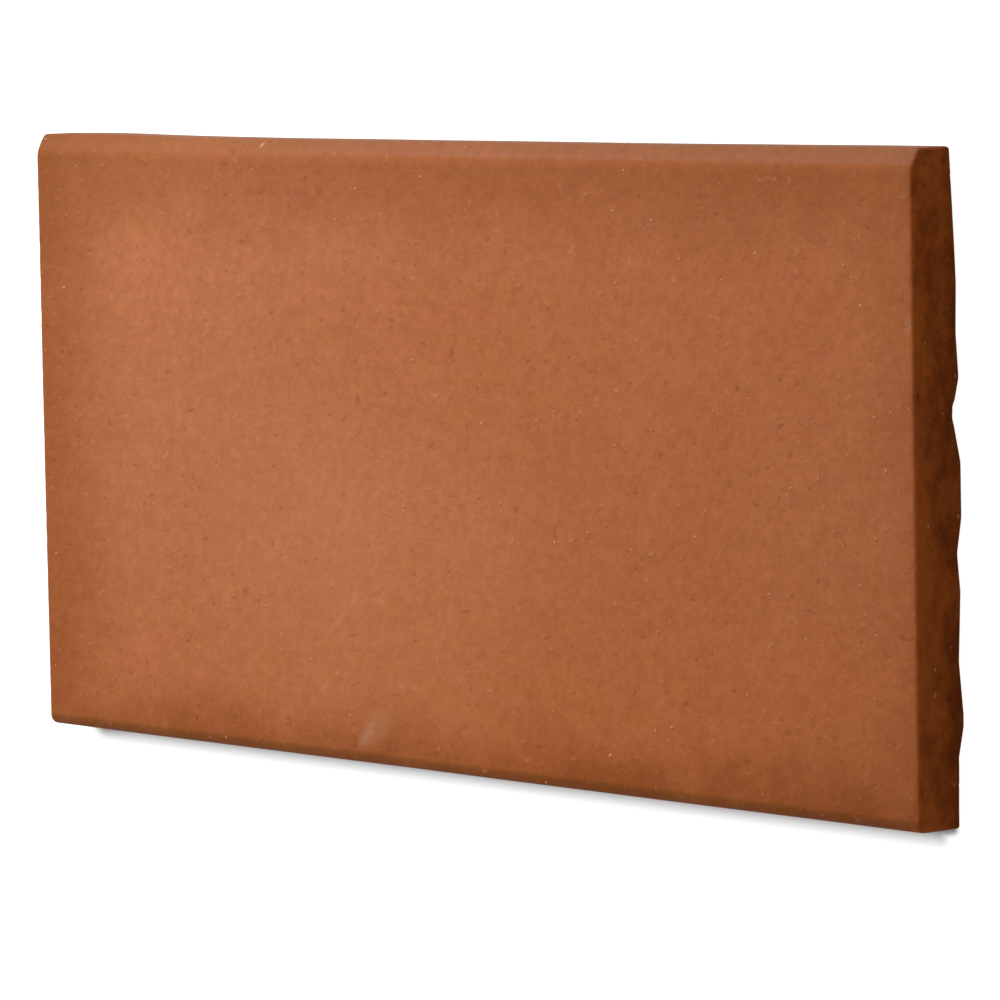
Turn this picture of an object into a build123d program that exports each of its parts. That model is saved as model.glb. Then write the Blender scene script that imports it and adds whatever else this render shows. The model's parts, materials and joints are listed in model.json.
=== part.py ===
from build123d import *
import math
import os

# Unglazed clinker floor tile, extruded in one piece and lying on its ribbed back.
# Frame, in millimetres: X along the length, Y across the width, Z up through the
# thickness. The origin is the middle of the tile, on the plane that the rib crowns rest on.

# Format of the tile
length = 240.0
width = 115.0
thickness = 11.0  # from the rib crowns to the walked-on face

# Broad bevel down one long edge of the face, at +Y
bevel_run = 3.6  # across the face
bevel_drop = 2.0  # down the side
bevel_shoulder = 3.0  # rounding where the bevel leaves the face
bevel_nose = 1.0  # rounding where it meets the side

# Other edges
face_round = 1.8  # long edge of the face at -Y
back_round = 1.2  # both long edges of the back
cut_arris = 0.8  # all round both cut ends, rubbed off before firing

# Keying ribs, which run the whole length of the back
rib_height = 1.2
rib_crown = 6.0  # flat that the tile lies on
rib_flank = 5.5  # how far each sloping side reaches across the tile
rib_valley = 3.0  # flat between two ribs
edge_land = 8.0  # least flat between an outer rib and the long edge
crown_round = 8.0
root_round = 6.0

rib_foot = rib_crown + 2 * rib_flank
rib_pitch = rib_foot + rib_valley
rib_count = 1 + math.floor((width - 2 * edge_land - rib_foot) / rib_pitch)


def rib_middles():
    """Where the middle of each rib lies across the tile, evenly about its centre line."""
    first = -rib_pitch * (rib_count - 1) / 2
    return [first + rib_pitch * number for number in range(rib_count)]


def rib_corners(middle):
    """The four corners of one rib, each as (across, up, rounding)."""
    half_foot = rib_foot / 2
    half_crown = rib_crown / 2
    return [
        (middle - half_foot, rib_height, root_round),
        (middle - half_crown, 0, crown_round),
        (middle + half_crown, 0, crown_round),
        (middle + half_foot, rib_height, root_round),
    ]


def die_section():
    """The section that the die gives: flat face, one bevelled long edge and waved back."""
    edge = width / 2
    corners = [(-edge, rib_height, back_round)]
    for middle in rib_middles():
        corners += rib_corners(middle)
    corners += [
        (edge, rib_height, back_round),
        (edge, thickness - bevel_drop, bevel_nose),
        (edge - bevel_run, thickness, bevel_shoulder),
        (-edge, thickness, face_round),
    ]
    points = [(across, up) for across, up, rounding in corners]
    radii = [rounding for across, up, rounding in corners]
    with BuildSketch(Plane.YZ.offset(-length / 2)) as section:
        with BuildLine():
            FilletPolyline(*points, radius=radii, close=True)
        make_face()
    return section.sketch

def clinker_tile():
    """The section drawn out to the length, with the sharp edges of both cuts taken off."""
    tile = extrude(die_section(), amount=length)
    cut_ends = tile.faces().filter_by(Axis.X)
    return fillet(cut_ends.edges(), cut_arris)


os.makedirs("parts", exist_ok=True)
export_step(clinker_tile(), "parts/clinker_tile.step")
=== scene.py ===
# %% [markdown]
# # An unglazed clinker floor tile
# A stiff terracotta clay is pressed through a die, so every length of the column has the
# same section: a flat face, one bevelled long edge, and a waved back that keys into the
# mortar. A wire cuts the column into tiles, which are then fired until they ring.
# This lesson dresses the measured tile: a fine mesh carries its wear and torn ends,
# Geometry Nodes sow its grog, and procedural clay colours do the rest.

# %% Load the measured tile
import json
import math

import bpy
import numpy as np
from mathutils import Euler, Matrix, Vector

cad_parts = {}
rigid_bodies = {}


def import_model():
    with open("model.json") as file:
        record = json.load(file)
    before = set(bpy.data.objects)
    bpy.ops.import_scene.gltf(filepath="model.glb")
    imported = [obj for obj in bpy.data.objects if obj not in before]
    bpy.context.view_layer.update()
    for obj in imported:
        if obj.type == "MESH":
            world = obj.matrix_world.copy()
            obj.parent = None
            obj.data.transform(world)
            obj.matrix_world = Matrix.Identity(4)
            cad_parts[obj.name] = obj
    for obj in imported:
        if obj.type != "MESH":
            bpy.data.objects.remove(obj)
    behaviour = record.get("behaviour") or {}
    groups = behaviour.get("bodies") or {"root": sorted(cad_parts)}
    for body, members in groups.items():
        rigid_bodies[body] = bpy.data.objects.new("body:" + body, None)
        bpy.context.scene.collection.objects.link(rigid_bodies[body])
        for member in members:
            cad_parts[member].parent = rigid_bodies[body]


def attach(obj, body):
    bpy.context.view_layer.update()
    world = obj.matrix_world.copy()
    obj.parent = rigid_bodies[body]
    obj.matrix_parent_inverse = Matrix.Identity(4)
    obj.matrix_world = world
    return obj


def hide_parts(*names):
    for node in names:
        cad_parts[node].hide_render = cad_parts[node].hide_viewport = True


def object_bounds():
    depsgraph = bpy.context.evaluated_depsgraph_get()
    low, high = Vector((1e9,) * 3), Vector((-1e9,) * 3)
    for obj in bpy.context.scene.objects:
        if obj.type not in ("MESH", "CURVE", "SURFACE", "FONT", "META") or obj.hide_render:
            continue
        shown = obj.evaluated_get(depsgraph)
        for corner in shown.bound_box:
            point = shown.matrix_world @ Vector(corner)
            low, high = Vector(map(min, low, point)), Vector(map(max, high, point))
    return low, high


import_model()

scene = bpy.context.scene
cad_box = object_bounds()
lowest, highest = Vector(cad_box[0]), Vector(cad_box[1])
mm = 0.001
print("tile from the frame, mm:", [round(size / mm, 2) for size in highest - lowest])

# %% [markdown]
# ## The camera
# The picture was taken with a long lens, well off to the right of the tile and a little
# above its middle. A camera can be set by eye, but a slant is hard to judge, so its place
# was worked out from the tile's four edges. It looks at the lying tile from the same
# side, and the face shows at the same slant.

# %% The camera
camera_place = (0.8801, 0.0913, 0.7660)  # metres
camera_turn = (-6.117, 48.779, -1.6485)  # degrees
film_width = 36.0  # mm
focal_length = 231.6  # mm

camera_data = bpy.data.cameras.new("camera")
camera_data.sensor_fit = "HORIZONTAL"
camera_data.sensor_width = film_width
camera_data.lens = focal_length
camera_data.clip_start = 0.05
camera_data.clip_end = 50.0
camera = bpy.data.objects.new("camera", camera_data)
camera.location = camera_place
camera.rotation_euler = Euler([math.radians(angle) for angle in camera_turn], "XYZ")
scene.collection.objects.link(camera)
scene.camera = camera
print("camera distance, m:", round(camera.location.length, 3))

# %% [markdown]
# ## Sizes of the section
# The length, the width, the thickness and the bevel are those of the measured solid. The
# solid has five even keys on its back, as the die was cut. This tile's die had worn, so
# here the same wave is set corner by corner from the outline that the picture shows: some
# keys stand a little off the floor, and one valley is deeper than the others. The solid's
# own wave could be used, but the outline would then be off by more than a pixel.

# %% Sizes of the section
half_length = highest.x
half_width = highest.y
thickness = highest.z
bevel_run = 3.6 * mm
bevel_drop = 2.0 * mm
bevel_shoulder = 3.0 * mm
bevel_nose = 1.0 * mm
face_round = 1.8 * mm
back_round = 0.6 * mm
cut_arris = 0.8 * mm  # how far the edges of the cut ends are rounded
back_arris_share = 0.3  # the wire leaves the arris sharper at the back
sharp_arris_height = 1.5 * mm  # up to here the arris is that sharp
full_arris_height = 6.0 * mm  # from here up it is fully worn
minus_edge_height = 1.46 * mm  # the back at its outer -Y edge
plus_edge_height = 1.87 * mm  # and at its outer +Y edge
keyed_back = [  # its corners between the two edges as (across, up, rounding) in mm
    (-45.3, 1.26, 2.0),
    (-40.2, 0.10, 2.5),
    (-38.0, 0.10, 3.0),
    (-29.3, 1.00, 4.0),
    (-23.0, 0.70, 4.0),
    (-17.4, 0.44, 4.0),
    (-10.9, 1.10, 4.0),
    (-5.0, 0.00, 6.0),
    (4.4, 0.02, 6.0),
    (12.5, 1.88, 3.0),
    (18.6, 0.24, 4.0),
    (26.2, 0.80, 6.0),
    (34.5, 0.60, 20.0),
    (41.0, 0.90, 20.0),
]
print("corners of the keyed back:", len(keyed_back))

# %% [markdown]
# ## The section as a rounded outline
# An outline is a list of corners, each with its own rounding. Each corner becomes a short
# arc. A Bevel modifier could round a box as well, but here every corner keeps a radius of
# its own. The outline is cut into four runs at the middles of four arcs, so the tile can
# be meshed as a box whose faces are bent to the true section.

# %% One rounded corner
arc_steps = 12  # steps of half an arc


def arc_at(before, corner, after, radius):
    """Points of the arc that rounds a corner, from the side before it to the side after."""
    back = (before - corner) / np.linalg.norm(before - corner)
    ahead = (after - corner) / np.linalg.norm(after - corner)
    half_angle = 0.5 * math.acos(float(np.clip(back @ ahead, -1, 1)))
    reach = radius / math.tan(half_angle)
    middle = corner + (back + ahead) / np.linalg.norm(back + ahead) * radius / math.sin(half_angle)
    start = corner + back * reach - middle
    end = corner + ahead * reach - middle
    sweep = math.pi - 2 * half_angle
    steps = np.linspace(0, 1, 2 * arc_steps + 1)[:, None]
    return middle + (np.sin((1 - steps) * sweep) * start + np.sin(steps * sweep) * end) / math.sin(sweep)


print("points on each rounded corner:", 2 * arc_steps + 1)

# %% The section as four runs of points
def section_corners():
    """Corners of the section as (across, up, rounding), from the -Y edge of the back."""
    corners = [(-half_width, minus_edge_height, back_round)]
    corners += [(across * mm, up * mm, rounding * mm) for across, up, rounding in keyed_back]
    corners += [
        (half_width, plus_edge_height, back_round),
        (half_width, thickness - bevel_drop, bevel_nose),
        (half_width - bevel_run, thickness, bevel_shoulder),
        (-half_width, thickness, face_round),
    ]
    return corners


def section_runs():
    """The back and the face from -Y to +Y, and the -Y and +Y sides from low to high."""
    corners = section_corners()
    places = [np.array(corner[:2]) for corner in corners]
    arcs = []
    for index, corner in enumerate(corners):
        after = places[(index + 1) % len(places)]
        arcs.append(arc_at(places[index - 1], places[index], after, corner[2]))
    first, plus_low, nose, shoulder, minus_high = arcs[0], arcs[-4], arcs[-3], arcs[-2], arcs[-1]
    back = np.vstack([first[arc_steps:]] + arcs[1:-4] + [plus_low[:arc_steps + 1]])
    plus_side = np.vstack([plus_low[arc_steps:], nose[:arc_steps + 1]])
    face = np.vstack([nose[arc_steps:], shoulder, minus_high[:arc_steps + 1]])[::-1]
    minus_side = np.vstack([minus_high[arc_steps:], first[:arc_steps + 1]])[::-1]
    return back, face, minus_side, plus_side


back_run, face_run, minus_run, plus_run = section_runs()
print("points round the section:", sum(len(run) for run in (back_run, face_run, minus_run, plus_run)))

# %% [markdown]
# ## Spreading mesh lines
# An extruded skin is drawn out lengthwise, so its marks are long and thin. The mesh
# therefore has close lines across the tile, closer still at the rounded edges, and wide
# steps along it. An even grid as fine would have several times as many faces. The wire-cut
# ends share the close lines, which is where they are needed.

# %% Spreading mesh lines
across_steps = 280
up_steps = 28
edge_zone = 2.5 * mm
edge_crowding = 2.5
trial_steps = 40  # fine steps for each wanted one


def respaced(run, steps, crowding):
    """The run again with a given number of steps, closer together near its two ends."""
    lengths = np.linalg.norm(np.diff(run, axis=0), axis=1)
    along = np.concatenate([[0], np.cumsum(lengths)])
    fine = np.linspace(0, along[-1], trial_steps * steps + 1)
    near_end = np.minimum(fine, along[-1] - fine)
    weight = 1 + crowding * np.exp(-near_end / edge_zone)
    share = np.concatenate([[0], np.cumsum(0.5 * (weight[1:] + weight[:-1]))])
    wanted = np.interp(np.linspace(0, share[-1], steps + 1), share, fine)
    return np.column_stack([np.interp(wanted, along, run[:, axis]) for axis in (0, 1)])


back_line = respaced(back_run, across_steps, edge_crowding)
face_line = respaced(face_run, across_steps, edge_crowding)
minus_line = respaced(minus_run, up_steps, 0)
plus_line = respaced(plus_run, up_steps, 0)
print("across, mm a step:", round(2 * half_width / across_steps / mm, 2))

# %% [markdown]
# ## Cross sections along the tile
# Both ends are cut, so their edges are rounded off where the wire left the clay: the
# outline is drawn in a little over the last few cross sections. From there inwards each
# step is wider than the last, because the middle of the tile is straight.

# %% Where the cross sections stand
arris_steps = 5
first_step = 0.4 * mm
widest_step = 2.4 * mm
step_growth = 1.3


def stations():
    """Places along half the tile from its end inwards, as (x, how far the skin is inset)."""
    rounded = [
        (half_length - cut_arris * (1 - math.cos(turn)), cut_arris * (1 - math.sin(turn)))
        for turn in np.linspace(0, math.pi / 2, arris_steps + 1)
    ]
    straight_from = rounded[-1][0]
    x, step = straight_from, first_step
    flat = []
    while x > widest_step:
        x -= step
        flat.append(x)
        step = min(step * step_growth, widest_step)
    scale = straight_from / (straight_from - flat[-1])
    flat = [straight_from - (straight_from - x) * scale for x in flat]
    return rounded + [(x, 0.0) for x in flat]


half_stations = stations()
all_stations = [(-x, inset) for x, inset in half_stations] + half_stations[-2::-1]
print("cross sections:", len(all_stations))

# %% [markdown]
# ## The bent box
# A box of grid lines has its surface bent to the section. Remeshing the solid would give
# an even mesh too, but it would blur the edges. Both ends are filled by blending between
# the four sides of the outline, so that they too are an even grid.

# %% One ring of points
ring_line = np.vstack([back_line[:-1], plus_line[:-1], face_line[:0:-1], minus_line[:0:-1]])
ring_size = len(ring_line)


def ring_normals(ring):
    """Outward normals of a closed ring that runs anticlockwise."""
    along = np.roll(ring, -1, axis=0) - np.roll(ring, 1, axis=0)
    along /= np.linalg.norm(along, axis=1)[:, None]
    return np.column_stack([along[:, 1], -along[:, 0]])


def ring_sides(ring):
    """The ring's back, face, -Y and +Y sides, each with both of its corners."""
    plus_from, face_from = across_steps, across_steps + up_steps
    minus_from = face_from + across_steps
    back = ring[:plus_from + 1]
    plus = ring[plus_from:face_from + 1]
    face = ring[face_from:minus_from + 1][::-1]
    minus = np.vstack([ring[minus_from:], ring[:1]])[::-1]
    return back, face, minus, plus


print("points in a ring:", ring_size)

# %% Filling a cut end
def end_grid(ring):
    """Points inside a ring, blended from its four sides."""
    back, face, minus, plus = ring_sides(ring)
    across = np.linspace(0, 1, across_steps + 1)[:, None, None]
    up = np.linspace(0, 1, up_steps + 1)[None, :, None]
    between = (1 - up) * back[:, None] + up * face[:, None]
    between = between + (1 - across) * minus[None] + across * plus[None]
    corners = (1 - across) * (1 - up) * back[0] + across * (1 - up) * back[-1]
    corners = corners + (1 - across) * up * face[0] + across * up * face[-1]
    return (between - corners)[1:-1, 1:-1]


def ring_index(column, level):
    """Which point of the ring is a grid point on the border of a cut end."""
    if level == 0:
        return column
    if column == across_steps:
        return across_steps + level
    if level == up_steps:
        return 2 * across_steps + up_steps - column
    return ring_size - level


print("points inside a cut end:", (across_steps - 1) * (up_steps - 1))

# %% The bent box
def tile_mesh():
    """The whole tile as one closed mesh of four-sided faces."""
    worn_heights = [sharp_arris_height, full_arris_height]
    arris_share = np.interp(ring_line[:, 1], worn_heights, [back_arris_share, 1])
    normals = ring_normals(ring_line) * arris_share[:, None]
    rows = []
    for x, inset in all_stations:
        ring = ring_line - normals * inset
        rows.append(np.column_stack([np.full(ring_size, x), ring]))
    ends = []
    for row in (rows[0], rows[-1]):
        inside = end_grid(row[:, 1:])
        ends.append(np.concatenate([np.full(inside.shape[:2] + (1,), row[0, 0]), inside], axis=2))
    points = np.vstack(rows + [end.reshape(-1, 3) for end in ends])

    ring = np.arange(ring_size)
    ahead = (ring + 1) % ring_size
    faces = []
    for row in range(len(rows) - 1):
        low, high = row * ring_size, (row + 1) * ring_size
        faces.append(np.column_stack([low + ring, low + ahead, high + ahead, high + ring]))

    inner = (across_steps - 1) * (up_steps - 1)
    for end, row, outward in ((0, 0, -1), (1, len(rows) - 1, 1)):
        number = np.empty((across_steps + 1, up_steps + 1), int)
        start = len(rows) * ring_size + end * inner
        number[1:-1, 1:-1] = start + np.arange(inner).reshape(across_steps - 1, up_steps - 1)
        border = [(column, level) for column in range(across_steps + 1) for level in (0, up_steps)]
        border += [(column, level) for column in (0, across_steps) for level in range(up_steps + 1)]
        for column, level in border:
            number[column, level] = row * ring_size + ring_index(column, level)
        quads = np.stack([number[:-1, :-1], number[1:, :-1], number[1:, 1:], number[:-1, 1:]], axis=-1)
        quads = quads.reshape(-1, 4)
        faces.append(quads if outward > 0 else quads[:, ::-1])
    return points, np.vstack(faces)


tile_points, tile_faces = tile_mesh()
print("corner points:", len(tile_points), "four-sided faces:", len(tile_faces))

# %% [markdown]
# ## Warp and masks
# A fired tile is never quite straight. This one's bevelled edge is bowed in a little and
# comes out again near one corner, and its right end stands out a little, most of all at
# the back. A Lattice could bend the mesh as well, but sums on the points are easier to
# measure. Each point also stores how far it belongs to the cut ends and to the back, so
# that relief, grog and colour know which finish they are on.

# %% Sizes of the warp and the masks
edge_bow = 0.24 * mm
bow_reach = 40 * mm
end_growth = 0.32 * mm  # how far the +X end stands out in the middle of its upper edge
growth_power = 3  # the higher, the nearer to that end it starts
end_hollow = 0.06 * mm  # how much further it does at both corners
end_slant = 0.14 * mm  # how much further it does at the back, as the wire leans a little
corner_lift = 0.30 * mm  # how far the +Y edge comes out again near its -X corner
lift_middle = -104 * mm
lift_reach = 18 * mm
cut_fade = 0.6 * mm
firm_rim = 1.4 * mm  # the tearing fades out over this strip round each end
firm_back = 1.2 * mm  # and below this height there is none
back_limit = 2.4 * mm  # the finish of the back reaches this high
back_margin = 0.3 * mm
bevel_crown = 0.18 * mm  # how far the bevel bulges in its middle
bevel_zone = 1.3 * bevel_drop
print("the bevelled edge bows by, mm:", round(edge_bow / mm, 2))

# %% Warp and masks
x, y, z = tile_points.T
cut_share = np.clip((np.abs(x) - (half_length - cut_fade)) / cut_fade, 0, 1)
from_outline = np.minimum.reduce([thickness - z, z - firm_back, half_width - np.abs(y)])
torn_share = cut_share * np.clip(from_outline / firm_rim, 0, 1)
along_bevel = np.clip((y - (half_width - bevel_run)) / bevel_run, 0, 1) * (z > thickness - bevel_zone)
bulge = bevel_crown * np.sin(math.pi * along_bevel)
bevel_length = math.hypot(bevel_run, bevel_drop)
tile_points[:, 1] += bulge * bevel_drop / bevel_length
tile_points[:, 2] += bulge * bevel_run / bevel_length
on_back = (z < back_limit) & (np.abs(y) < half_width - back_margin)
back_share = on_back.astype(float) * (1 - cut_share)
bow_share = np.clip(1 - (half_width - y) / bow_reach, 0, 1) ** 2
tile_points[:, 1] -= edge_bow * bow_share * (1 - (x / half_length) ** 2)
tile_points[:, 1] += corner_lift * bow_share * np.exp(-(((x - lift_middle) / lift_reach) ** 2))
end_share = ((x + half_length) / (2 * half_length)) ** growth_power
end_reach = end_growth + end_hollow * (y / half_width) ** 2 + end_slant * (1 - z / thickness)
tile_points[:, 0] += end_share * end_reach
print("the +X end stands out by up to, mm:", round((tile_points[:, 0].max() - half_length) / mm, 2))

# %% The tile as an object
def new_object(name, points, faces):
    """A smooth mesh object in the scene."""
    mesh = bpy.data.meshes.new(name)
    mesh.from_pydata(points.tolist(), [], faces.tolist())
    mesh.shade_smooth()
    thing = bpy.data.objects.new(name, mesh)
    scene.collection.objects.link(thing)
    return thing


def store(mesh, name, values):
    """Keeps one number for each point of a mesh, under a name."""
    layer = mesh.attributes.new(name, "FLOAT", "POINT")
    layer.data.foreach_set("value", np.asarray(values, np.float32))


tile = new_object("clinker_tile_body", tile_points, tile_faces)
store(tile.data, "cut", cut_share)
store(tile.data, "torn", torn_share)
store(tile.data, "back", back_share)
print("points on the cut ends:", int((cut_share > 0.5).sum()))
print("points on the back:", int((back_share > 0.5).sum()))

# %% [markdown]
# ## Node helpers
# Relief and colour are both made from nodes. A few helpers add a node, fill its sockets
# and start a group with named sockets, so that each tree reads like a recipe. Places are
# measured in millimetres inside the trees.

# %% Node helpers
def add_node(tree, kind, options=None, inputs=None):
    """Adds a node, sets its options, and links or fills its inputs by name or number."""
    node = tree.nodes.new(kind)
    for name, value in (options or {}).items():
        setattr(node, name, value)
    for name, value in (inputs or {}).items():
        if isinstance(value, bpy.types.NodeSocket):
            tree.links.new(value, node.inputs[name])
        else:
            node.inputs[name].default_value = value
    return node


def calculate(tree, operation, *values):
    """One sum with numbers, such as ADD or DIVIDE."""
    return add_node(tree, "ShaderNodeMath", {"operation": operation}, dict(enumerate(values))).outputs[0]


def times(tree, first, second):
    return calculate(tree, "MULTIPLY", first, second)


in_mm = (1 / mm, 1 / mm, 1 / mm)  # stretches a place in metres to millimetres


def stretch(tree, place, factors):
    options = {"operation": "MULTIPLY"}
    return add_node(tree, "ShaderNodeVectorMath", options, {0: place, 1: factors}).outputs[0]


def shift(tree, place, offset):
    options = {"operation": "ADD"}
    return add_node(tree, "ShaderNodeVectorMath", options, {0: place, 1: offset}).outputs[0]


print("millimetres in a metre:", round(in_mm[0]))

# %% Noise, ramps and groups
def noise(tree, place, size, detail=2.0, roughness=0.5):
    """Soft noise from 0 to 1, with a size in the unit of the place that goes in."""
    scale = calculate(tree, "DIVIDE", 1.0, size)
    inputs = {"Vector": place, "Scale": scale, "Detail": detail, "Roughness": roughness}
    return add_node(tree, "ShaderNodeTexNoise", {}, inputs).outputs[0]


def ramp(tree, value, low, high, to_low=0.0, to_high=1.0):
    """Smoothly maps low..high to to_low..to_high, and holds the ends."""
    options = {"interpolation_type": "SMOOTHSTEP"}
    inputs = {0: value, 1: low, 2: high, 3: to_low, 4: to_high}
    return add_node(tree, "ShaderNodeMapRange", options, inputs).outputs[0]


def split(tree, place):
    return add_node(tree, "ShaderNodeSeparateXYZ", {}, {0: place}).outputs


def new_group(name, kind, inputs, outputs):
    """A node group with named sockets: its tree, what it is given and what it returns."""
    tree = bpy.data.node_groups.new(name, kind)
    for label, socket_kind, value in inputs:
        socket = tree.interface.new_socket(label, in_out="INPUT", socket_type="NodeSocket" + socket_kind)
        if value is not None:
            socket.default_value = value
    for label, socket_kind in outputs:
        tree.interface.new_socket(label, in_out="OUTPUT", socket_type="NodeSocket" + socket_kind)
    return tree, tree.nodes.new("NodeGroupInput").outputs, tree.nodes.new("NodeGroupOutput").inputs


# %% [markdown]
# ## From a node tree to a plain mesh
# A part for a library is handed over as plain meshes, so each tree is run once and its
# result is kept. A tree's sizes are set on the modifier by the identifier of each socket,
# and the modifier goes away again afterwards.

# %% Turning a node tree's result into a plain mesh
def evaluated_mesh(thing, tree, values):
    """Runs a Geometry Nodes tree on an object, and returns the result as a plain mesh."""
    modifier = thing.modifiers.new(tree.name, "NODES")
    modifier.node_group = tree
    for item in tree.interface.items_tree:
        if item.in_out == "INPUT" and item.name in values:
            modifier[item.identifier] = values[item.name]
    view = bpy.context.evaluated_depsgraph_get()
    mesh = bpy.data.meshes.new_from_object(
        thing.evaluated_get(view), preserve_all_data_layers=True, depsgraph=view
    )
    thing.modifiers.clear()
    return mesh


# %% [markdown]
# ## Relief of the skin and the torn ends
# The die leaves fine lines along the column, most of all on the back, and the wire tears
# small crumbs out of the ends. Real relief catches the light at the outline too, which
# a bump can't, so the larger forms are pushed into the mesh by a Geometry Nodes tree.

# %% Relief tree
relief, given, result = new_group(
    "fired relief",
    "GeometryNodeTree",
    [
        ("Geometry", "Geometry", None),
        ("Warp Height", "Float", 0.1),
        ("Die Line Height", "Float", 0.02),
        ("Back Line Height", "Float", 0.1),
        ("Torn Height", "Float", 0.2),
        ("Crumb Depth", "Float", 0.3),
        ("Arris Wear", "Float", 0.2),
        ("Clay", "Material", None),
    ],
    [("Geometry", "Geometry")],
)


def stored(tree, name):
    """The number that each point keeps under a name."""
    options = {"data_type": "FLOAT"}
    return add_node(tree, "GeometryNodeInputNamedAttribute", options, {"Name": name}).outputs[0]


def centred(tree, value, height):
    """Turns a 0..1 noise into plus and minus a height."""
    return times(tree, calculate(tree, "MULTIPLY_ADD", value, 2.0, -1.0), height)


def pushed(tree, geometry, direction, distance):
    """Moves every point along a direction by its own distance."""
    scaling = {0: direction, "Scale": distance}
    offset = add_node(tree, "ShaderNodeVectorMath", {"operation": "SCALE"}, scaling).outputs[0]
    inputs = {"Geometry": geometry, "Offset": offset}
    return add_node(tree, "GeometryNodeSetPosition", {}, inputs).outputs[0]


def finished(tree, geometry, material):
    """Makes instances real and gives the geometry its material."""
    real = add_node(tree, "GeometryNodeRealizeInstances", {}, {0: geometry}).outputs[0]
    inputs = {"Geometry": real, "Material": material}
    return add_node(tree, "GeometryNodeSetMaterial", {}, inputs).outputs[0]


print("inputs of the relief tree:", len(given) - 1)

# %% Relief of the skin, the back and the cut ends
place = add_node(relief, "GeometryNodeInputPosition").outputs[0]
place = stretch(relief, place, in_mm)
outward = add_node(relief, "GeometryNodeInputNormal").outputs[0]
cut, back = stored(relief, "cut"), stored(relief, "back")
skin = calculate(relief, "SUBTRACT", calculate(relief, "SUBTRACT", 1.0, cut), back)

warp_size, warp_detail = 45.0, 1.0
die_line_size, die_drawing = 2.2, (0.03, 1, 1)
warp = centred(relief, noise(relief, place, warp_size, warp_detail), given["Warp Height"])
die_lines = noise(relief, stretch(relief, place, die_drawing), die_line_size)
die_lines = centred(relief, die_lines, given["Die Line Height"])
skin_height = times(relief, calculate(relief, "ADD", warp, die_lines), skin)

back_line_size, back_drawing = 3.6, (0.02, 1, 1)
back_lines = noise(relief, stretch(relief, place, back_drawing), back_line_size)
back_height = times(relief, back_lines, given["Back Line Height"])
back_height = times(relief, back_height, back)

torn_size, torn_drawing, torn_detail, torn_roughness = 3.4, (0.2, 1, 1), 4.0, 0.6
crumb_size, crumb_from, crumb_full = 1.7, 0.58, 0.72
crumb_offset = (31, 7, 3)  # keeps the crumbs from repeating the torn noise
torn = noise(relief, stretch(relief, place, torn_drawing), torn_size, torn_detail, torn_roughness)
torn = centred(relief, torn, given["Torn Height"])
crumbs = noise(relief, shift(relief, place, crumb_offset), crumb_size)
crumbs = times(relief, ramp(relief, crumbs, crumb_from, crumb_full), given["Crumb Depth"])
cut_height = calculate(relief, "SUBTRACT", torn, crumbs)
cut_height = times(relief, cut_height, stored(relief, "torn"))

height = calculate(relief, "SUBTRACT", skin_height, back_height)
height = calculate(relief, "ADD", height, cut_height)
moved = pushed(relief, given["Geometry"], outward, times(relief, height, mm))
print("relief tree so far:", len(relief.nodes), "nodes")

# %% [markdown]
# ## Worn arrises
# The edges between the face and the two ends are the first to be knocked, so they are
# rubbed down unevenly. This could be sculpted by hand, but noise gives the same wear each
# time. A second push moves only the points close to such an edge, inwards.

# %% Worn arrises
wear_size, wear_detail, wear_roughness = 2.6, 3.0, 0.6
wear_from, wear_full = 0.45, 0.75
wear_offset = (5, 5, 5)
fresh_inside, worn_inside = 1.4, 0.2  # mm from the end
fresh_below, worn_below = 1.6, 0.3  # mm below the face
wear_place = shift(relief, place, wear_offset)
wear = noise(relief, wear_place, wear_size, wear_detail, wear_roughness)
x_part, _, z_part = split(relief, place)[:3]
end_distance = calculate(relief, "SUBTRACT", half_length / mm, calculate(relief, "ABSOLUTE", x_part))
near_end = ramp(relief, end_distance, fresh_inside, worn_inside)
near_face = ramp(relief, z_part, thickness / mm - fresh_below, thickness / mm - worn_below)
worn = times(relief, ramp(relief, wear, wear_from, wear_full), given["Arris Wear"])
worn = times(relief, worn, times(relief, near_end, near_face))
moved = pushed(relief, moved, outward, times(relief, worn, -mm))
relief.links.new(finished(relief, moved, given["Clay"]), result["Geometry"])
print("relief tree:", len(relief.nodes), "nodes")

# %% Press the relief into the tile
fired_skin = bpy.data.materials.new("fired skin")
relief_values = {
    "Warp Height": 0.10,
    "Die Line Height": 0.03,
    "Back Line Height": 0.12,
    "Torn Height": 0.30,
    "Crumb Depth": 0.45,
    "Arris Wear": 0.08,
    "Clay": fired_skin,
}
tile.data = evaluated_mesh(tile, relief, relief_values)
tile.data.shade_smooth()
print("triangles of the tile:", 2 * len(tile.data.polygons))

# %% [markdown]
# ## Grog
# Grog is old fired clay, ground to sand and mixed in so that the tile dries without
# cracking. Where the die drags over it, pale grains show at the surface. They are too
# small for a baked picture, so each one is a low bead of twenty faces, sown by a second
# tree with a fixed seed. About a quarter of a bead's height stands out of the clay. Most
# are very small, and each keeps a number for how pale it is.

# %% Grog tree
sowing, given, result = new_group(
    "sown grog",
    "GeometryNodeTree",
    [
        ("Geometry", "Geometry", None),
        ("Grains per Square Metre", "Float", 20000.0),
        ("Smallest", "Float", 0.05),
        ("Largest", "Float", 0.2),
        ("Flatness", "Float", 0.35),
        ("Seed", "Int", 7),
        ("Grog", "Material", None),
    ],
    [("Geometry", "Geometry")],
)


def chance(tree, low, high, seed):
    """A random number for each grain."""
    inputs = {2: low, 3: high, "Seed": seed}
    return add_node(tree, "FunctionNodeRandomValue", {"data_type": "FLOAT"}, inputs).outputs[1]


print("inputs of the grog tree:", len(given) - 1)

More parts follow.
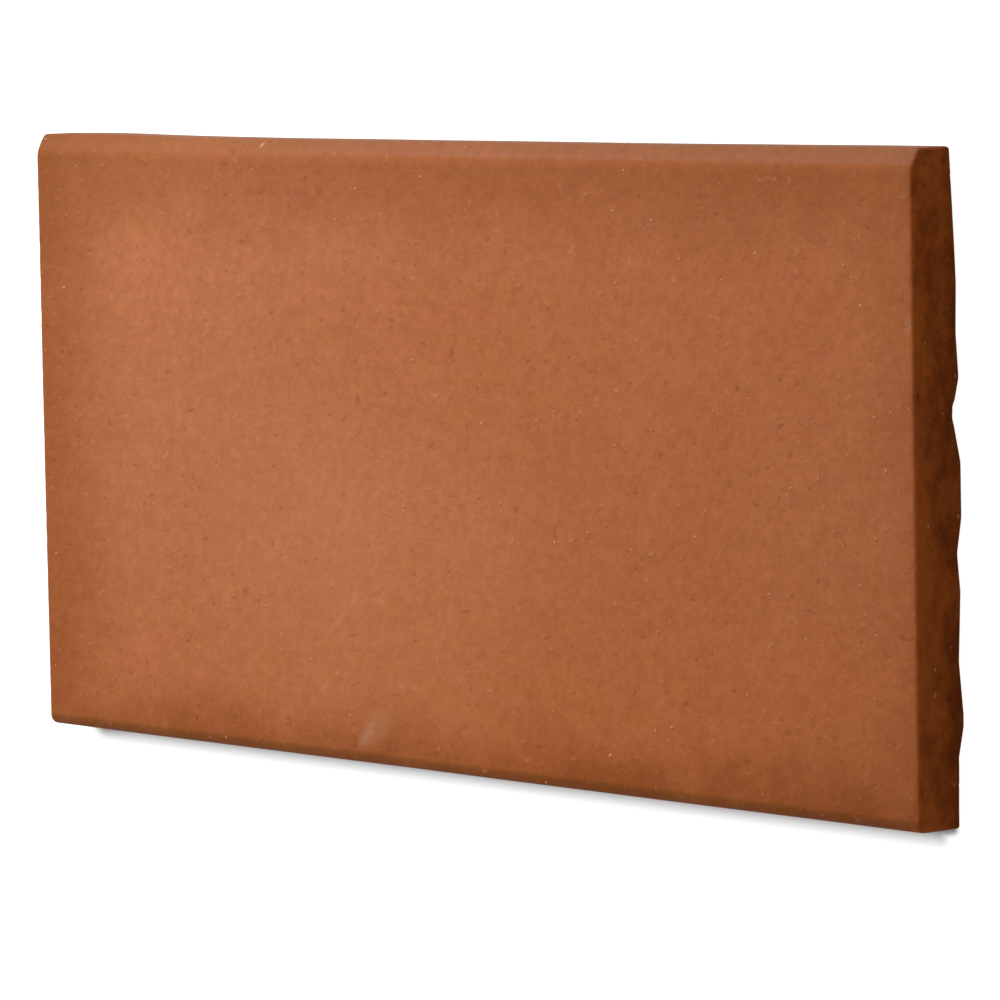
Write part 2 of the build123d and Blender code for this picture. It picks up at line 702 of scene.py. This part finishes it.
# %% Where the grains lie
lost_at_cut = 0.6  # share of the grains that the wire has torn out
pale_seed, size_seed, length_seed = 3, 5, 8
open_clay = calculate(sowing, "SUBTRACT", 1.0, stored(sowing, "back"))
open_clay = calculate(sowing, "MULTIPLY_ADD", stored(sowing, "cut"), -lost_at_cut, open_clay)
density = times(sowing, given["Grains per Square Metre"], open_clay)
pale_chance = chance(sowing, 0.0, 1.0, pale_seed)
points = add_node(
    sowing,
    "GeometryNodeDistributePointsOnFaces",
    {"distribute_method": "RANDOM"},
    {"Mesh": given["Geometry"], "Density": density, "Seed": given["Seed"]},
)
pale = add_node(
    sowing,
    "GeometryNodeStoreNamedAttribute",
    {"data_type": "FLOAT", "domain": "POINT"},
    {"Geometry": points.outputs["Points"], "Name": "paleness", "Value": pale_chance},
)
print("grog tree so far:", len(sowing.nodes), "nodes")

# %% Beads of all sizes
small_power = 3.5  # the higher, the more of the grains are small
longest_grain = 1.7  # length of a bead, in its widths
bead_sink = 0.45  # how deep a bead's middle lies, as a share of its half height
size_chance = calculate(sowing, "POWER", chance(sowing, 0.0, 1.0, size_seed), small_power)
size_range = {0: size_chance, 3: given["Smallest"], 4: given["Largest"]}
radius = add_node(sowing, "ShaderNodeMapRange", {}, size_range).outputs[0]
radius = times(sowing, radius, mm)
long_side = times(sowing, radius, chance(sowing, 1.0, longest_grain, length_seed))
low_side = times(sowing, radius, given["Flatness"])
bead_size = add_node(sowing, "ShaderNodeCombineXYZ", {}, {0: long_side, 1: radius, 2: low_side}).outputs[0]
bead = add_node(sowing, "GeometryNodeMeshIcoSphere", {}, {"Radius": 1.0, "Subdivisions": 1})
sinking = {"Geometry": bead.outputs["Mesh"], "Translation": (0, 0, -bead_sink)}
bead = add_node(sowing, "GeometryNodeTransform", {}, sinking)
beads = add_node(
    sowing,
    "GeometryNodeInstanceOnPoints",
    {},
    {
        "Points": pale.outputs[0],
        "Instance": bead.outputs["Geometry"],
        "Rotation": points.outputs["Rotation"],
        "Scale": bead_size,
    },
)
sowing.links.new(finished(sowing, beads.outputs[0], given["Grog"]), result["Geometry"])
print("grog tree:", len(sowing.nodes), "nodes")

# %% Sow the grog
grog_clay = bpy.data.materials.new("grog grain")
grog_values = {
    "Grains per Square Metre": 20000.0,
    "Smallest": 0.10,
    "Largest": 0.42,
    "Flatness": 0.20,
    "Seed": 7,
    "Grog": grog_clay,
}
grog_mesh = evaluated_mesh(tile, sowing, grog_values)
grog_mesh.name = "grog_grains"
grog_mesh.shade_smooth()
grog = bpy.data.objects.new("grog_grains", grog_mesh)
scene.collection.objects.link(grog)
faces_a_bead = 20
print("grains of grog:", len(grog_mesh.polygons) // faces_a_bead)

# %% [markdown]
# ## Clay mottle
# The firing colours the clay unevenly, in soft patches from 5 to 20 mm across that are
# drawn out a little along the tile. They could be painted, but noise has no seams at the
# edges. This group gives a shade and a warmth that wander over the surface, and every
# clay in the scene uses it with its own patch size.

# %% Clay mottle group
def mm_place(tree):
    """Places on the object in millimetres."""
    spot = add_node(tree, "ShaderNodeTexCoord").outputs["Object"]
    return stretch(tree, spot, in_mm)


mottle, given, result = new_group(
    "clay mottle",
    "ShaderNodeTree",
    [("Place", "Vector", None), ("Patch", "Float", 8.0)],
    [("Shade", "Float"), ("Warmth", "Float")],
)
wide_patches = 3.5  # how much wider the wide patches are
patch_drawing, patch_detail, patch_roughness = (0.6, 1, 1), 3.0, 0.6
wide_offset, warmth_offset = (9, 40, 3), (70, 11, 5)
drawn = stretch(mottle, given["Place"], patch_drawing)
narrow_shade = noise(mottle, drawn, given["Patch"], patch_detail, patch_roughness)
wide_size = times(mottle, given["Patch"], wide_patches)
wide_shade = noise(mottle, shift(mottle, drawn, wide_offset), wide_size)
shade = times(mottle, calculate(mottle, "ADD", narrow_shade, wide_shade), 0.5)
mottle.links.new(shade, result["Shade"])
warmth = noise(mottle, shift(mottle, drawn, warmth_offset), given["Patch"])
mottle.links.new(warmth, result["Warmth"])
print("clay mottle:", len(mottle.nodes), "nodes")

# %% [markdown]
# ## Sandy grain
# The skin feels like fine sandpaper. One fine noise gives the bump its height and the clay
# its tone, so that the small hollows also get a little painted shade.

# %% Sandy grain group
sand, given, result = new_group(
    "sandy grain",
    "ShaderNodeTree",
    [("Place", "Vector", None), ("Grain", "Float", 3.0)],
    [("Height", "Float")],
)
sand_detail, sand_roughness = 2.0, 0.80
sand.links.new(noise(sand, given["Place"], given["Grain"], sand_detail, sand_roughness), result["Height"])
print("sandy grain:", len(sand.nodes), "nodes")

# %% [markdown]
# ## Specks: pits and dull grains
# Grains that the die tore out leave small pits, drawn out a little along the tile, and
# dull grains of grog lie just under the skin. One fine noise gives both: where it
# sinks lowest there is a pit, and where it rises highest there is a grain, so both come
# in ragged shapes of all sizes. The whole swing of the noise also lumps the skin a little.

# %% Speck group
specks, given, result = new_group(
    "specks",
    "ShaderNodeTree",
    [
        ("Place", "Vector", None),
        ("Size", "Float", 0.6),
        ("Length", "Float", 1.6),
        ("Rarity", "Float", 0.25),
    ],
    [("Pits", "Float"), ("Grains", "Float"), ("Lumps", "Float")],
)
short_x = calculate(specks, "DIVIDE", 1.0, given["Length"])
squeeze = add_node(specks, "ShaderNodeCombineXYZ", {}, {0: short_x, 1: 1.0, 2: 1.0}).outputs[0]
border = 0.12  # how softly a pit or a grain begins
speck_detail = 1.0
squeezed = stretch(specks, given["Place"], squeeze)
fine = noise(specks, squeezed, given["Size"], speck_detail)
swing = calculate(specks, "SUBTRACT", fine, 0.5)
sinking = times(specks, swing, -1.0)
strongest = calculate(specks, "ADD", given["Rarity"], border)
specks.links.new(ramp(specks, sinking, given["Rarity"], strongest), result["Pits"])
specks.links.new(ramp(specks, swing, given["Rarity"], strongest), result["Grains"])
specks.links.new(swing, result["Lumps"])
print("specks:", len(specks.nodes), "nodes")

# %% [markdown]
# ## Darker rim
# The face comes out darker and redder towards its edges. The group
# measures how near a point is to each edge of the face and fades the rim out over 15 to
# 35 mm, with a wandering border. It could be painted too, but measured distances keep it
# on the edges if the size changes. Each edge has its own strength. The same distances
# give a mask for the bevel, a painted shade along the rounded front edge, which faces away
# from the lamps, and thin dark lines over the bevel's nose and faintly on the face
# beside the bevel.

# %% Darker rim group
rim, given, result = new_group(
    "darker rim",
    "ShaderNodeTree",
    [
        ("Place", "Vector", None),
        ("Drift", "Float", 8.0),
        ("Left", "Float", 1.0),
        ("Right", "Float", 0.3),
        ("Front", "Float", 1.0),
        ("Bevelled", "Float", 0.8),
    ],
    [("Mask", "Float"), ("Bevel", "Float"), ("Line", "Float")],
)
drift_size, drift_detail = 14.0, 3.0
drift = centred(rim, noise(rim, given["Place"], drift_size, drift_detail), given["Drift"])
x_part, y_part = split(rim, given["Place"])[:2]
left_distance = calculate(rim, "ADD", x_part, half_length / mm)
right_distance = calculate(rim, "SUBTRACT", half_length / mm, x_part)
front_distance = calculate(rim, "ADD", y_part, half_width / mm)
bevel_distance = calculate(rim, "SUBTRACT", half_width / mm, y_part)
sides = [
    # edge, distance from it, and where its rim is full and where it has gone, in mm
    ("Left", left_distance, -4, 32),
    ("Right", right_distance, -4, 14),
    ("Front", front_distance, -4, 14),
    ("Bevelled", bevel_distance, 7, 24),
]
darkest = 0.0
for label, distance, full, gone in sides:
    distance = calculate(rim, "ADD", distance, drift)
    side_mask = times(rim, ramp(rim, distance, gone, full), given[label])
    darkest = calculate(rim, "MAXIMUM", darkest, side_mask)
rim.links.new(darkest, result["Mask"])
print("edges with a rim:", len(sides))

# %% Bevel and dark lines
bevel_border, whole_bevel = 3.35, 2.4  # mm from the edge
# Where each side of a dark line has gone and where it is full, in mm from its edge
front_inner, front_outer = (2.4, 1.8), (0.5, 1.5)
nose_inner = (3.4, 0.6)
foot_inner, foot_outer = (7.0, 4.2), (3.0, 3.6)
nose_strength, foot_strength = 0.5, 0.16
front_rest = 0.1  # how much of the front painted shade is left at the very edge
rim.links.new(ramp(rim, bevel_distance, bevel_border, whole_bevel), result["Bevel"])
# painted shade along the rounded front edge, which faces away from the lamps
inside_front = ramp(rim, front_distance, *front_inner)
outside_front = ramp(rim, front_distance, *front_outer, front_rest, 1.0)
front_painted_shade = times(rim, inside_front, outside_front)
nose_line = ramp(rim, bevel_distance, *nose_inner, 0.0, nose_strength)
foot_line = ramp(rim, bevel_distance, *foot_inner, 0.0, foot_strength)
foot_line = times(rim, foot_line, ramp(rim, bevel_distance, *foot_outer))
darkest_line = calculate(rim, "MAXIMUM", calculate(rim, "MAXIMUM", front_painted_shade, nose_line), foot_line)
rim.links.new(darkest_line, result["Line"])
print("darker rim:", len(rim.nodes), "nodes")

# %% [markdown]
# ## Rubbed marks
# Handling has left a few pale scratches and one soft scuff on the face. Each mark is an
# oval with a middle, a length, a width and a turn, broken up by noise so that only the
# high grains are rubbed. The group is placed once for every mark. Very wide ovals give
# the face its haze of dust, a faint painted sheen near the bevel and the smoke at its
# corners, and narrow dark ones draw a few hairlines. A painted picture could hold them
# too, but it would blur close by.

# %% Oval mark group
rubbed, given, result = new_group(
    "oval mark",
    "ShaderNodeTree",
    [
        ("Place", "Vector", None),
        ("Middle", "Vector", None),
        ("Turn", "Float", 0.0),
        ("Length", "Float", 5.0),
        ("Width", "Float", 1.0),
        ("Grit", "Float", 0.5),
        ("Breaks", "Float", 0.5),
    ],
    [("Mask", "Float")],
)
turn = calculate(rubbed, "RADIANS", given["Turn"])
own_turn = add_node(rubbed, "ShaderNodeCombineXYZ", {}, {2: turn}).outputs[0]
from_middle = shift(rubbed, given["Place"], stretch(rubbed, given["Middle"], (-1, -1, -1)))
turned = add_node(
    rubbed,
    "ShaderNodeVectorRotate",
    {"rotation_type": "EULER_XYZ", "invert": True},
    {"Vector": from_middle, "Rotation": own_turn},
).outputs[0]
along, aside, above = split(rubbed, turned)[:3]
patch_border = 0.25
mark_core = 0.35  # share of the oval that is rubbed to the full
face_depth, face_core = 1.0, 0.6  # mm above or below the face
reach = calculate(rubbed, "DIVIDE", along, times(rubbed, given["Length"], 0.5))
spread = calculate(rubbed, "DIVIDE", aside, times(rubbed, given["Width"], 0.5))
oval = calculate(rubbed, "ADD", times(rubbed, reach, reach), times(rubbed, spread, spread))
oval = calculate(rubbed, "SQRT", oval)
unbroken = calculate(rubbed, "ADD", given["Breaks"], patch_border)
patchy = ramp(rubbed, given["Grit"], given["Breaks"], unbroken)
on_face = ramp(rubbed, calculate(rubbed, "ABSOLUTE", above), face_depth, face_core)
mark = times(rubbed, ramp(rubbed, oval, 1.0, mark_core), on_face)
rubbed.links.new(times(rubbed, mark, patchy), result["Mask"])
print("oval mark:", len(rubbed.nodes), "nodes")

# %% [markdown]
# ## The fired skin
# One material covers the body, because the finishes run into each other over half a
# millimetre at the worn edges, where two materials would meet in a hard line. The stored
# mask of the cut ends blends the smooth skin into the torn clay.

# %% Colours of the clay
clay_pale = (0.480, 0.158, 0.058, 1)
clay_deep = (0.390, 0.112, 0.034, 1)
ochre_tint = (0.997, 1.012, 0.965, 1)
red_tint = (1.003, 0.988, 1.035, 1)
rim_tint = (0.62, 0.50, 0.27, 1)
line_tint = (0.74, 0.80, 0.66, 1)
# tint of the painted loss of sheen towards the -Y edge
low_sheen_loss_tint = (1.00, 0.94, 0.82, 1)
# dark colour of the painted shade in pits, also used for the dark hairlines
pit_shade_and_hairline_colour = (0.17, 0.020, 0.002, 1)
torn_colour = (0.45, 0.100, 0.014, 1)
torn_deep = (0.22, 0.042, 0.004, 1)
rubbed_colour = (0.56, 0.28, 0.15, 1)
dusty_colour = (0.78, 0.34, 0.165, 1)
smoky_colour = (0.19, 0.055, 0.012, 1)
sandy_colour = (0.66, 0.45, 0.33, 1)
# whitish colour of the painted sheen
painted_sheen_colour = (0.75, 0.72, 0.68, 1)
grog_dull = (0.50, 0.185, 0.080, 1)
grog_pale = (0.60, 0.250, 0.122, 1)


def blend(tree, share, first, second, mode="MIX"):
    """Mixes two colours by a share."""
    options = {"data_type": "RGBA", "blend_type": mode}
    return add_node(tree, "ShaderNodeMix", options, {0: share, 6: first, 7: second}).outputs[2]


def tinted(tree, share, colour, tint):
    """Multiplies a colour by a tint, by a share."""
    return blend(tree, share, colour, blend(tree, 1.0, colour, tint, "MULTIPLY"))


def group_node(tree, group, inputs):
    return add_node(tree, "ShaderNodeGroup", {"node_tree": group}, inputs).outputs


def shader_of(material):
    """The material's tree, its Principled shader, and places on the object in millimetres."""
    material.use_nodes = True
    tree = material.node_tree
    return tree, tree.nodes["Principled BSDF"], mm_place(tree)


print("grog is paler than the clay by, share:", round(grog_pale[0] / clay_pale[0] - 1, 2))

# %% Marks on the face
marks = [
    # middle x and y in mm, turn in degrees, length, width, breaks, strength, colour
    # hazes of dust, and a faint painted sheen near the bevel
    (-19.0, -22.0, 0, 136.0, 84.0, -0.50, 0.095, dusty_colour),
    (-29.0, -24.0, 80, 44.0, 24.0, -0.50, 0.030, dusty_colour),
    (10.0, 44.0, 0, 210.0, 36.0, -0.50, 0.007, painted_sheen_colour),
    # smoke at two corners
    (-116.0, 50.0, 0, 60.0, 50.0, -0.50, 0.26, smoky_colour),
    (118.0, -54.0, 0, 100.0, 42.0, -0.50, 0.15, smoky_colour),
    (-118.0, 57.0, 0, 90.0, 22.0, -0.50, 0.20, smoky_colour),
    # the scuff, and the grit in it
    (-20.4, -50.4, 40, 16.0, 7.4, -0.20, 0.19, rubbed_colour),
    (-23.4, -52.0, 45, 9.0, 3.0, 0.26, 0.15, sandy_colour),
    # scratches
    (-30.3, -30.9, 38, 9.6, 1.6, 0.28, 0.30, rubbed_colour),
    (-26.3, -27.0, 60, 4.6, 1.6, 0.28, 0.34, rubbed_colour),
    (-18.2, -26.6, 70, 3.8, 1.4, 0.30, 0.30, rubbed_colour),
    (-35.4, -44.0, 45, 3.6, 2.0, 0.22, 0.28, rubbed_colour),
    (-32.2, -24.7, 70, 1.5, 0.9, 0.20, 0.42, rubbed_colour),
    (-81.4, -3.0, 45, 3.2, 0.9, 0.36, 0.50, rubbed_colour),
    (119.3, 28.0, 90, 5.0, 2.4, 0.10, 0.22, rubbed_colour),
    # a nick on the bevel
    (-51.7, 56.2, 50, 1.6, 0.6, -0.20, 0.70, sandy_colour),
    # dark hairlines
    (-73.5, 5.8, 12, 4.2, 0.6, 0.30, 0.40, pit_shade_and_hairline_colour),
    (5.2, -27.3, 3, 4.0, 0.7, 0.30, 0.40, pit_shade_and_hairline_colour),
    (-8.9, -33.7, 4, 3.8, 0.6, 0.30, 0.30, pit_shade_and_hairline_colour),
]


def face_height(across):
    """Height of the face at a place across it: it falls away along the bevel."""
    on_bevel = max(0, across - (half_width - bevel_run) / mm)
    return thickness / mm - on_bevel * bevel_drop / bevel_run


print("marks on the face:", len(marks))

# %% Colour of the skin
mottle_share, grain_share = 0.35, 0.85
deepest_share, palest_share = 0.30, 0.89
left_painted_sheen = 0.022  # painted sheen: the face is paler and greyer towards its -X end
painted_sheen_from, painted_sheen_full = 30.0, -80.0  # mm along the tile
bevel_from, bevel_full = -100.0, 20.0  # mm along the tile, over which the bevel's painted sheen grows
least_bevel_sheen, most_bevel_sheen = 0.010, 0.042
low_from, low_full = -5.0, -48.0  # mm across the tile, over which the face loses painted sheen
warmth_from, warmth_full = 0.35, 0.65
grit_size, grit_detail, grit_roughness = 0.8, 2.0, 0.65
dull_grain_share, pit_shade_share = 0.25, 0.30
tree, shader, place = shader_of(fired_skin)
x_part, y_part, z_part = split(tree, place)[:3]
face_mottle = group_node(tree, mottle, {"Place": place, "Patch": 5.0})
grain = group_node(tree, sand, {"Place": place, "Grain": 2.4})
grit = noise(tree, place, grit_size, grit_detail, grit_roughness)
speck = group_node(tree, specks, {"Place": place, "Size": 1.5, "Length": 1.3, "Rarity": 0.182})
rim_strengths = {"Left": 0.78, "Right": 0.35, "Front": 1.0, "Bevelled": 0.47}
edge = group_node(tree, rim, {"Place": place, **rim_strengths})

# the sandy grain varies the clay's own tone and also paints a little shade into the bump's hollows
clay_share = times(tree, grain["Height"], grain_share)
clay_share = calculate(tree, "MULTIPLY_ADD", face_mottle["Shade"], mottle_share, clay_share)
skin_colour = blend(tree, ramp(tree, clay_share, deepest_share, palest_share), clay_deep, clay_pale)
# painted sheen, growing towards the -X end
face_painted_sheen = ramp(tree, x_part, painted_sheen_from, painted_sheen_full, 0.0, left_painted_sheen)
skin_colour = blend(tree, face_painted_sheen, skin_colour, painted_sheen_colour)
hue = blend(tree, ramp(tree, face_mottle["Warmth"], warmth_from, warmth_full), ochre_tint, red_tint)
skin_colour = blend(tree, 1.0, skin_colour, hue, "MULTIPLY")
# painted loss of sheen: more saturated towards the -Y edge
skin_colour = tinted(tree, ramp(tree, y_part, low_from, low_full), skin_colour, low_sheen_loss_tint)
skin_colour = tinted(tree, edge["Mask"], skin_colour, rim_tint)
# painted sheen on the bevel, stronger towards +X
bevel_painted_sheen = ramp(tree, x_part, bevel_from, bevel_full, least_bevel_sheen, most_bevel_sheen)
bevel_painted_sheen = times(tree, edge["Bevel"], bevel_painted_sheen)
skin_colour = blend(tree, bevel_painted_sheen, skin_colour, painted_sheen_colour)
skin_colour = tinted(tree, edge["Line"], skin_colour, line_tint)
skin_colour = blend(tree, times(tree, speck["Grains"], dull_grain_share), skin_colour, rubbed_colour)
# painted shade in the pits, which also go down in the bump
skin_colour = blend(tree, times(tree, speck["Pits"], pit_shade_share), skin_colour, pit_shade_and_hairline_colour)
print("skin colour so far:", len(tree.nodes), "nodes")

# %% Marks laid over the skin
for x_middle, y_middle, turn, length, width, breaks, strength, mark_colour in marks:
    mark = group_node(
        tree,
        rubbed,
        {
            "Place": place,
            "Middle": (x_middle, y_middle, face_height(y_middle)),
            "Turn": turn,
            "Length": length,
            "Width": width,
            "Grit": grit,
            "Breaks": breaks,
        },
    )
    skin_colour = blend(tree, times(tree, mark["Mask"], strength), skin_colour, mark_colour)
print("skin colour with its marks:", len(tree.nodes), "nodes")

# %% [markdown]
# ## Torn ends and roughness
# The wire opens the clay, so the ends show its darker inside, blotched where it tore deeper.
# Unglazed clay hardly shines. Its specular level is kept low, and its grain goes into the
# bump and the roughness, because it is too fine for the mesh.

# %% Colour of the torn ends
light_rise = 0.16  # the ends are paler towards the face
corner_loss = 0.07  # and darker towards the -Y edge
loss_from, loss_full = -20.0, -48.0  # mm across the tile
torn_patch, torn_patch_drawing = 2.6, (0.3, 0.6, 1)
torn_from, torn_full = 0.42, 0.72
cut = add_node(tree, "ShaderNodeAttribute", {"attribute_name": "cut"}).outputs["Fac"]
torn_place = stretch(tree, place, torn_patch_drawing)
torn_mottle = group_node(tree, mottle, {"Place": torn_place, "Patch": torn_patch})
height_share = calculate(tree, "DIVIDE", z_part, thickness / mm)
torn_mix = calculate(tree, "MULTIPLY_ADD", height_share, light_rise, torn_mottle["Shade"])
edge_loss = ramp(tree, y_part, loss_from, loss_full, 0.0, -corner_loss)
torn_mix = calculate(tree, "ADD", torn_mix, edge_loss)
torn_clay = blend(tree, ramp(tree, torn_mix, torn_from, torn_full), torn_deep, torn_colour)
tree.links.new(blend(tree, cut, skin_colour, torn_clay), shader.inputs["Base Color"])
print("colour of the body:", len(tree.nodes), "nodes")

# %% Roughness and bump of the body
specular_level, sheen_weight, sheen_roughness = 0.12, 0.06, 0.35
skin_roughness, roughness_swing = 0.80, 0.08
smooth_grain, rough_grain = 0.3, 0.7  # heights of the sandy grain
skin_bump, torn_bump, lump_bump = 0.11, 0.30, 0.13  # heights in mm
speck_bump = 0.05  # pits go down and grains come up by this
skin_height = times(tree, grain["Height"], skin_bump)
torn_height = times(tree, grit, torn_bump)
rough_height = add_node(tree, "ShaderNodeMix", {}, {0: cut, 2: skin_height, 3: torn_height}).outputs[0]
rough_height = calculate(tree, "MULTIPLY_ADD", speck["Pits"], -speck_bump, rough_height)
rough_height = calculate(tree, "MULTIPLY_ADD", speck["Grains"], speck_bump, rough_height)
rough_height = calculate(tree, "MULTIPLY_ADD", speck["Lumps"], lump_bump, rough_height)
bump = add_node(tree, "ShaderNodeBump", {}, {"Strength": 1.0, "Distance": mm, "Height": rough_height})
tree.links.new(bump.outputs["Normal"], shader.inputs["Normal"])
smoothest, roughest = skin_roughness - roughness_swing, skin_roughness + roughness_swing
skin_finish = ramp(tree, grain["Height"], smooth_grain, rough_grain, smoothest, roughest)
tree.links.new(calculate(tree, "MAXIMUM", skin_finish, cut), shader.inputs["Roughness"])
shader.inputs["Specular IOR Level"].default_value = specular_level
shader.inputs["Sheen Weight"].default_value = sheen_weight
shader.inputs["Sheen Roughness"].default_value = sheen_roughness
print("body material:", len(tree.nodes), "nodes")

# %% [markdown]
# ## The grog's own clay
# Grog was fired once before, so it is paler than the body, some grains more than others.
# The beads carry their paleness as a number, and the same mottle and grain groups are
# placed here at the size of a bead.

# %% Grog material
paleness_power = 1.5  # the higher, the fewer grains are pale
grain_patch, grain_grit = 0.3, 0.08  # mm
bead_bump, bead_bump_strength = 0.02 * mm, 0.5
least_pale, bead_shades = 0.7, (0.2, 0.6)  # the mottle takes up to 30 percent of the paleness
bead_roughness, bead_heights = (0.7, 0.9), (0.2, 0.8)
tree, shader, place = shader_of(grog_clay)
paleness = add_node(tree, "ShaderNodeAttribute", {"attribute_name": "paleness"}).outputs["Fac"]
grain_mottle = group_node(tree, mottle, {"Place": place, "Patch": grain_patch})
share = calculate(tree, "POWER", paleness, paleness_power)
share = times(tree, share, ramp(tree, grain_mottle["Shade"], *bead_shades, least_pale, 1.0))
tree.links.new(blend(tree, share, grog_dull, grog_pale), shader.inputs["Base Color"])
grain_bump = group_node(tree, sand, {"Place": place, "Grain": grain_grit})
bump_inputs = {"Strength": bead_bump_strength, "Distance": bead_bump, "Height": grain_bump["Height"]}
bump = add_node(tree, "ShaderNodeBump", {}, bump_inputs)
tree.links.new(bump.outputs["Normal"], shader.inputs["Normal"])
bead_finish = ramp(tree, grain_bump["Height"], *bead_heights, *bead_roughness)
tree.links.new(bead_finish, shader.inputs["Roughness"])
shader.inputs["Specular IOR Level"].default_value = specular_level
print("grog material:", len(tree.nodes), "nodes")

# %% [markdown]
# ## Floor
# The floor is plain and pale. What the camera sees of it has its own glow, so that it
# reads as white paper while it still holds the tile's shadow. The glow sinks away where
# the tile hides the sky: under it, and in a narrow strip along its -Y side, which faces
# away from the lamps. On the sides that the lamps reach the paper stays white.

# %% Sizes of the floor's shaded parts
contact_reach = 5 * mm
contact_loss = 2.6  # glow lost where the tile hides all of the sky
strip_edge = 1.0  # mm from the -Y edge to where the shaded strip is full
end_lean = 4.0  # the strip ends in a slant near the +X end
lean_from, lean_full = 6.5, 0.5  # mm past the +X end
end_from, end_full = 0.5, 2.5  # mm inside the +X end
right_strength = 0.92
left_strength = 1.5  # the strip is darker near the -X end
left_from, left_full = 16.0, -6.0  # mm inside the -X end
right_bare, right_under = 2.5, 6.0  # mm inside the +X end
left_bare, left_under = 0.5, 2.5  # mm inside the -X end
far_bare, far_under = 1.0, 4.0  # mm inside the +Y edge
print("the shaded strip is full this far from the edge, mm:", strip_edge)

# %% One look for the camera, one for the light
def white_seen_by_camera(tree, seen, unseen):
    """Mixes two shaders: the first for the camera and for mirror and glass rays."""
    path = add_node(tree, "ShaderNodeLightPath").outputs
    seen_share = calculate(tree, "MAXIMUM", path["Is Camera Ray"], path["Is Glossy Ray"])
    seen_share = calculate(tree, "MAXIMUM", seen_share, path["Is Transmission Ray"])
    return add_node(tree, "ShaderNodeMixShader", {}, {0: seen_share, 1: unseen, 2: seen}).outputs[0]


floor_glow = 0.96
floor_shade = 0.40
floor_paper = bpy.data.materials.new("floor paper")
floor_paper.use_nodes = True
tree = floor_paper.node_tree
tree.nodes.clear()
grey = (floor_shade, floor_shade, floor_shade, 1)
matt = add_node(tree, "ShaderNodeBsdfDiffuse", {}, {"Color": grey}).outputs[0]
contact = add_node(tree, "ShaderNodeAmbientOcclusion", {}, {"Distance": contact_reach})
hidden_sky = calculate(tree, "SUBTRACT", 1.0, contact.outputs["AO"])
x_part, y_part = split(tree, mm_place(tree))[:2]
end_x, edge_y = half_length / mm, half_width / mm
print("floor material so far:", len(tree.nodes), "nodes")

# %% Where the glow sinks away
strip = ramp(tree, y_part, strip_edge - edge_y, -strip_edge - edge_y)
slant = calculate(tree, "MULTIPLY_ADD", calculate(tree, "ADD", y_part, edge_y), -end_lean, x_part)
strip = times(tree, strip, ramp(tree, slant, end_x + lean_from, end_x + lean_full))
strip = times(tree, strip, ramp(tree, x_part, end_x - end_from, end_x - end_full))
strip = times(tree, strip, ramp(tree, x_part, 0, end_x / 2, 1.0, right_strength))
strip = times(tree, strip, ramp(tree, x_part, left_from - end_x, left_full - end_x, 1.0, left_strength))

under_right = ramp(tree, x_part, end_x - right_bare, end_x - right_under)
under_left = ramp(tree, x_part, left_bare - end_x, left_under - end_x)
under_far = ramp(tree, y_part, edge_y - far_bare, edge_y - far_under)
under_tile = times(tree, times(tree, under_right, under_left), under_far)
shaded = calculate(tree, "MAXIMUM", strip, under_tile)
glow_lost = times(tree, times(tree, hidden_sky, shaded), contact_loss)
glow_strength = calculate(tree, "MAXIMUM", calculate(tree, "SUBTRACT", floor_glow, glow_lost), 0.0)
glow = add_node(tree, "ShaderNodeEmission", {}, {"Strength": glow_strength}).outputs[0]
both = add_node(tree, "ShaderNodeAddShader", {}, {0: matt, 1: glow}).outputs[0]
add_node(tree, "ShaderNodeOutputMaterial", {}, {"Surface": white_seen_by_camera(tree, both, matt)})
print("floor material:", len(tree.nodes), "nodes")

# %% The floor itself
floor_reach = 4.0
floor_corners = np.array([(-1, -1, 0), (1, -1, 0), (1, 1, 0), (-1, 1, 0)]) * floor_reach
floor = new_object("floor", floor_corners, np.array([[0, 1, 2, 3]]))
floor.data.materials.append(floor_paper)
print("floor reaches to, m:", floor_reach)

# %% [markdown]
# ## Lamps
# The photograph was lit by a soft lamp high on the left and by a weaker one from behind the
# bevelled edge, which catches the bevel. A picture of a studio could light the tile too,
# but lamps are easier to set. Both are square panels, so shadows have soft edges, and a
# plain white world fills in the rest.

# %% World and lamps
world_light = 0.33
world = bpy.data.worlds.new("studio")
scene.world = world
world.use_nodes = True
tree = world.node_tree
tree.nodes.clear()
plain_white = (1, 1, 1, 1)
soft_inputs = {"Color": plain_white, "Strength": world_light}
white_inputs = {"Color": plain_white, "Strength": 1.0}
soft = add_node(tree, "ShaderNodeBackground", {}, soft_inputs).outputs[0]
white = add_node(tree, "ShaderNodeBackground", {}, white_inputs).outputs[0]
add_node(tree, "ShaderNodeOutputWorld", {}, {"Surface": white_seen_by_camera(tree, white, soft)})


def soft_box(name, place, aim, side, watts):
    data = bpy.data.lights.new(name, "AREA")
    data.shape = "SQUARE"
    data.size = side
    data.energy = watts
    lamp = bpy.data.objects.new(name, data)
    lamp.location = place
    lamp.rotation_euler = (Vector(aim) - Vector(place)).to_track_quat("-Z", "Y").to_euler()
    scene.collection.objects.link(lamp)


soft_box("key", place=(-0.26, 0.26, 0.46), aim=(-0.04, 0.0, 0.0), side=0.30, watts=2.62)
soft_box("back light", place=(-0.15, 0.60, 0.12), aim=(0.0, 0.0, 0.0), side=0.25, watts=0.9)

scene.view_settings.view_transform = "Standard"

# %% [markdown]
# ## Handing the pieces over
# The dressed tile takes the place of the measured solid, and the grog rides along with it.

# %% Hand the pieces over
for piece in (tile, grog):
    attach(piece, "root")
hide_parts("clinker_tile")
